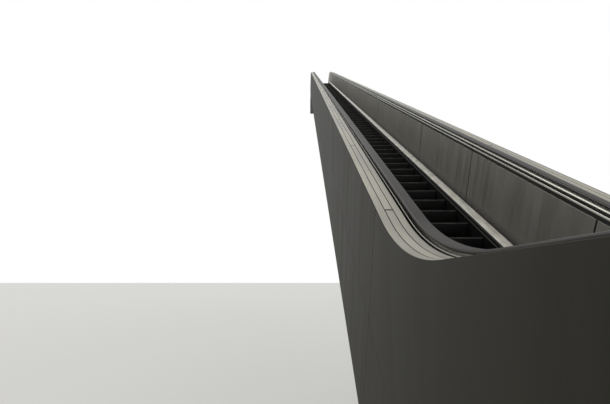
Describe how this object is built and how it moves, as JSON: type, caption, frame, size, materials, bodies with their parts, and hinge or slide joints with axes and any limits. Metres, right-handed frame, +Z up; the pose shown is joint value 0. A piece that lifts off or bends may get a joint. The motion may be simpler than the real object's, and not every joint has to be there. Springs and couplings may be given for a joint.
{
  "type": "escalator",
  "caption": "Long heavy-duty escalator with metal balustrades, black steps, rubber handrails, wide outer decks, clad truss and landing plates.",
  "frame": {"origin": "middle of the underside of the lower bearing, on the building edge it rests on", "axes": "+X across the machine to the right when looking up it, +Y along the travel and up the slope, +Z up"},
  "size_m": [1.794, 35.7082, 18.435],
  "materials": {
    "steps": "black-coated cast aluminium, worn matt on the cleats",
    "rails": "steel rail, primed",
    "skirt": "black low-friction coating on steel",
    "brush": "grey bristle in a rail",
    "inner_deck": "patterned bright stainless steel",
    "panel": "brushed stainless steel sheet",
    "guide": "polished stainless steel profile",
    "handrail": "black rubber with a soft sheen",
    "outer_deck": "brushed stainless steel strips",
    "cladding": "dark grey sheet cladding",
    "newel": "brushed stainless steel",
    "comb": "cast aluminium comb, worn bright",
    "floor": "ribbed aluminium floor plate",
    "truss": "dark grey painted structural steel"
  },
  "bodies": {
    "root": {"steps_lower": "steps", "steps_incline_a": "steps", "steps_incline_b": "steps", "steps_incline_c": "steps", "steps_incline_d": "steps", "steps_upper": "steps", "step_rails": "rails", "skirt_left": "skirt", "skirt_brush_left": "brush", "inner_deck_left": "inner_deck", "panels_left": "panel", "handrail_guide_left": "guide", "handrail_left": "handrail", "outer_deck_left": "outer_deck", "cladding_left": "cladding", "newel_lower_left": "newel", "newel_upper_left": "newel", "balustrade_posts_left": "truss", "skirt_brackets_left": "truss", "skirt_right": "skirt", "skirt_brush_right": "brush", "inner_deck_right": "inner_deck", "panels_right": "panel", "handrail_guide_right": "guide", "handrail_right": "handrail", "outer_deck_right": "outer_deck", "cladding_right": "cladding", "newel_lower_right": "newel", "newel_upper_right": "newel", "balustrade_posts_right": "truss", "skirt_brackets_right": "truss", "comb_lower": "comb", "comb_plate_lower": "floor", "floor_plates_lower": "floor", "end_plate_lower": "truss", "bearing_lower": "truss", "comb_upper": "comb", "comb_plate_upper": "floor", "floor_plates_upper": "floor", "end_plate_upper": "truss", "bearing_upper": "truss", "cross_frames": "truss", "truss_chords": "truss", "truss_diagonals": "truss", "soffit_plates": "truss"}
  },
  "joints": []
}
